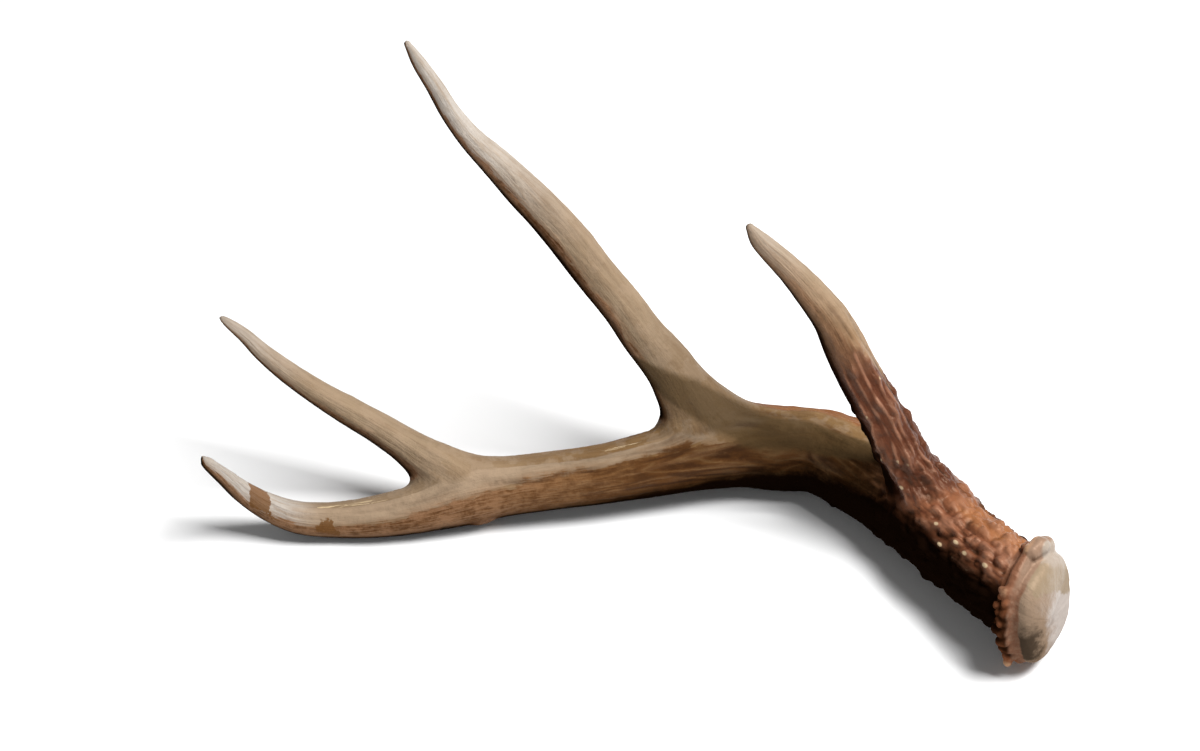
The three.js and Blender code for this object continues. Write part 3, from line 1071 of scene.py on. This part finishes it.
def lumps_and_hollows(s, colour):
    """Painted pinkish highlights on the ridge lines and lumps of the foot and the brow tine, with painted
    shade in the hollows between them.
    """
    # Painted highlight along the beaded ridge lines.
    colour = s.mix(s.ramp("lines", 0.5, 1.2, 0, 0.6), colour, PINK_HIGHLIGHT)
    foot = s.ramp(s.plus("red", "band"), 0, 0.3, 0.35, 1)
    # Painted shade in the hollows between the lumps.
    hollow_shade = s.times(foot, s.ramp("rise", 0.3, -0.7, 0, 0.9))
    colour = s.mix(hollow_shade, colour, GROOVE_SHADE)
    # Painted highlight on the tops of the lumps.
    on_beam = s.ramp("tine_share", 0.5, 1, 1, 0.3)
    lump_highlight = s.times(s.ramp("rise", 0.5, 1.9, 0, 0.45), on_beam)
    return s.mix(s.times("red", lump_highlight), colour, PINK_HIGHLIGHT)


def marks(s, colour, mottles):
    """The nearly black underside, partly stain and partly painted shade, the pearls' tips, the ochre
    patches and the cream flecks.
    """
    # The nearly black underside, partly stain and partly painted shade.
    under = s.plus("under", s.scaled(mottles, 7, -5))
    colour = s.mix(s.ramp(under, -4.5, 3), colour, BLACK_STAIN_AND_SHADE)
    pearl = s.plus("pearl", s.scaled(s.specks, 0.3, -0.15))
    colour = s.mix(s.ramp(pearl, 0.42, 0.9, 0, 0.9), colour, CREAM)
    ragged = s.scaled(s.blotches, 11, s.scaled(s.specks, 5, -8))
    patch = s.plus("patch", ragged)
    ochre = s.mix(s.ramp("side", -20, -8), LIGHT_OCHRE, OCHRE)
    colour = s.mix(s.ramp(patch, 0, 0.8, 0, 0.9), colour, ochre)
    fleck = s.plus("fleck", s.scaled(s.streaks, 2.4, -1.2))
    return s.mix(s.ramp(fleck, 1.02, 1.12), colour, CREAM)


def bone_colour(s):
    """The limbs' colour, from the pale ground up to the marks that cover everything."""
    mottles = s.scaled(s.fibres, 0.5, s.scaled(s.specks, 0.35, s.times(s.blotches, 0.6)))
    colour = brown_sides(s, pale_ground(s), mottles)
    colour = crests_and_grooves(s, colour)
    colour = fork_shade_and_orange_rim(s, colour)
    colour = lumps_and_hollows(s, colour)
    return marks(s, colour, mottles)


def rim_colour(s, high):
    """The burr's brown knobs, with pale tips and painted shade in the gaps between them, pinkish at the
    top.
    """
    away = s.new("VectorMath")
    away.operation = "LENGTH"
    s.feed(away.inputs[0], s.attribute("burr_place"))
    from_middle = away.outputs["Value"]
    rim = s.mix(s.ramp(s.specks, 0.4, 0.65), KNOB, RED_LIGHT)
    rim = s.mix(s.ramp(high, 12, 22, 0, 0.6), rim, BURR_FACE)
    tips = s.plus(from_middle, s.times(s.specks, 3))
    rim = s.mix(s.ramp(tips, 27, 29.4, 0, 0.75), rim, KNOB_TIP)
    # Painted shade in the gaps between the knobs.
    gaps = s.times(s.ramp(from_middle, 25.6, 23.6), s.ramp(high, 17, 9))
    return s.mix(gaps, rim, GROOVE_SHADE)


def seal_colour(s, across, high):
    """The seal, pale on its outer side, beige at its top, with painted shade on its low inner part and
    pores on its inner part.
    """
    ragged = s.scaled(s.blotches, 14, s.scaled(s.specks, 4, -9))
    outer = s.scaled(across, -0.52, s.scaled(high, -0.15, ragged))
    upper = s.scaled(across, -0.6, s.scaled(high, 0.76, ragged))
    seal = s.mix(s.ramp(outer, -4.5, 0.5), SEAL_GREY, SEAL_PALE)
    seal = s.mix(s.ramp(upper, 6, 8, 0, 0.8), seal, SEAL_BEIGE)
    seal = s.mix(s.ramp(upper, 15, 19, 0, 0.4), seal, SEAL_PALE)
    inner = s.ramp(outer, -4, -8)
    # Painted shade on the seal's low inner part.
    low_inner_shade = s.times(inner, s.ramp(upper, -5, -12))
    seal = s.mix(s.times(low_inner_shade, 0.85), seal, SEAL_SHADE)
    cells = s.new("TexVoronoi", {"Scale": 0.95})
    s.feed(cells.inputs["Vector"], s.attribute("burr_place"))
    pores = s.ramp(cells.outputs["Distance"], 0.22, 0.1)
    porous = s.times(s.ramp(s.blotches, 0.42, 0.58, 0, 0.6), inner)
    return s.mix(s.times(pores, porous), seal, OLIVE)


def burr_colour(s):
    """The burr's rim of knobs, its pinkish face and the seal, from the back outwards."""
    place = s.new("SeparateXYZ")
    s.feed(place.inputs[0], s.attribute("burr_place"))
    across, high, out = place.outputs
    face = s.mix(s.ramp(s.specks, 0.4, 0.7, 0, 0.3), BURR_FACE, LOBE)
    face = s.mix(s.ramp(high, 18, 22, 0, 0.6), face, LOBE)
    reached = s.plus(out, s.scaled(s.blotches, 3, -1.5))
    colour = s.mix(s.ramp(reached, -3, -1.2), rim_colour(s, high), face)
    return s.mix(s.ramp(reached, 1.6, 2.6), colour, seal_colour(s, across, high))


def antler_material():
    s = Shader("antler_bone")
    by_burr = s.ramp("burr_share", 0.35, 0.65)
    s.feed(s.surface.inputs["Base Color"], s.mix(by_burr, bone_colour(s), burr_colour(s)))
    rough = s.blend("red", 0.56, 0.34)
    s.feed(s.surface.inputs["Roughness"], s.scaled(s.specks, 0.12, rough))
    shine = s.blend("red", s.ramp("side", -9, 1, 0.22, 0.07), 0.27)
    shine = s.times(shine, s.ramp("under", -6, 1, 1, 0))
    s.feed(s.surface.inputs["Specular IOR Level"], shine)
    s.surface.inputs["Specular Tint"].default_value = (*SHINE_TINT, 1)
    bump = s.new("Bump", {"Strength": BUMP_STRENGTH, "Distance": BUMP_DEPTH})
    fine = s.scaled(s.fibres, 0.5, s.times(s.specks, 0.8))
    s.feed(bump.inputs["Height"], s.scaled(s.streaks, 0.7, fine))
    s.feed(s.surface.inputs["Normal"], bump.outputs[0])
    return s.material


# --- build ---
def decimate(piece):
    triangles = sum(len(face.vertices) - 2 for face in piece.data.polygons)
    fewer = piece.modifiers.new("fewer", "DECIMATE")
    fewer.ratio = min(1, MOST_TRIANGLES / triangles)
    with_modifiers(piece)


antler = smooth_antler()
skin = Skin(antler.data)
points = read_rows(antler.data.vertices, "co", 3, np.float32).astype(float)
points = draw_onto_surface(points, skin)
surface = Surface(points)
surface.choose_tones()
surface.raise_relief()
points = points + surface.rise[:, None] * skin.normals(points)
points = np.clip(points, np.array(cad_box[0]) / MM + CAD_ROOM, np.array(cad_box[1]) / MM - CAD_ROOM)
write_points(antler.data, points * MM)
surface.hold(antler.data)
decimate(antler)
antler.data.polygons.foreach_set("use_smooth", np.ones(len(antler.data.polygons), bool))

antler.data.materials.append(antler_material())
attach(antler, "root")
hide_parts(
    "beam_base", "beam_lower", "beam_upper", "beam_tip", "brow_tine", "second_tine", "third_tine")


# --- floor, lights and camera ---
ELEVATION = math.radians(45)
CAMERA_DISTANCE = 1.5
LENS = 100.0
SENSOR_WIDTH = 36.0
LOOK_AT = Vector((-0.013, 0.103, 0.0))
FLOOR_HALF = 3.0
FLOOR_GREY = 0.86
FLOOR_ROUGHNESS = 0.9
WORLD_STRENGTH = 0.16


def floor():
    half = FLOOR_HALF
    corners = [(-half, -half, 0), (half, -half, 0), (half, half, 0), (-half, half, 0)]
    piece = new_object("floor", corners, [(0, 1, 2, 3)])
    material = bpy.data.materials.new("floor")
    material.use_nodes = True
    shader = material.node_tree.nodes["Principled BSDF"]
    shader.inputs["Base Color"].default_value = (FLOOR_GREY, FLOOR_GREY, FLOOR_GREY, 1)
    shader.inputs["Roughness"].default_value = FLOOR_ROUGHNESS
    piece.data.materials.append(material)


def lamp(name, place, size, watts):
    light = bpy.data.lights.new(name, "AREA")
    light.size = size
    light.energy = watts
    piece = bpy.data.objects.new(name, light)
    piece.location = place
    piece.rotation_euler = (LOOK_AT - Vector(place)).to_track_quat("-Z", "Y").to_euler()
    bpy.context.scene.collection.objects.link(piece)


def camera():
    lens = bpy.data.cameras.new("camera")
    lens.lens = LENS
    lens.sensor_width = SENSOR_WIDTH
    piece = bpy.data.objects.new("camera", lens)
    way = Vector((0, -math.cos(ELEVATION), math.sin(ELEVATION)))
    piece.location = LOOK_AT + CAMERA_DISTANCE * way
    piece.rotation_euler = (-way).to_track_quat("-Z", "Y").to_euler()
    bpy.context.scene.collection.objects.link(piece)
    bpy.context.scene.camera = piece


def white_world():
    world = bpy.data.worlds.new("world")
    world.use_nodes = True
    background = world.node_tree.nodes["Background"]
    background.inputs["Color"].default_value = (1, 1, 1, 1)
    background.inputs["Strength"].default_value = WORLD_STRENGTH
    bpy.context.scene.world = world
    bpy.context.scene.view_settings.view_transform = "Standard"


floor()
lamp("key", place=(0.7, -0.1, 1.4), size=0.7, watts=46)
lamp("fill", place=(-0.5, -1.1, 0.9), size=1.2, watts=2)
white_world()
camera()
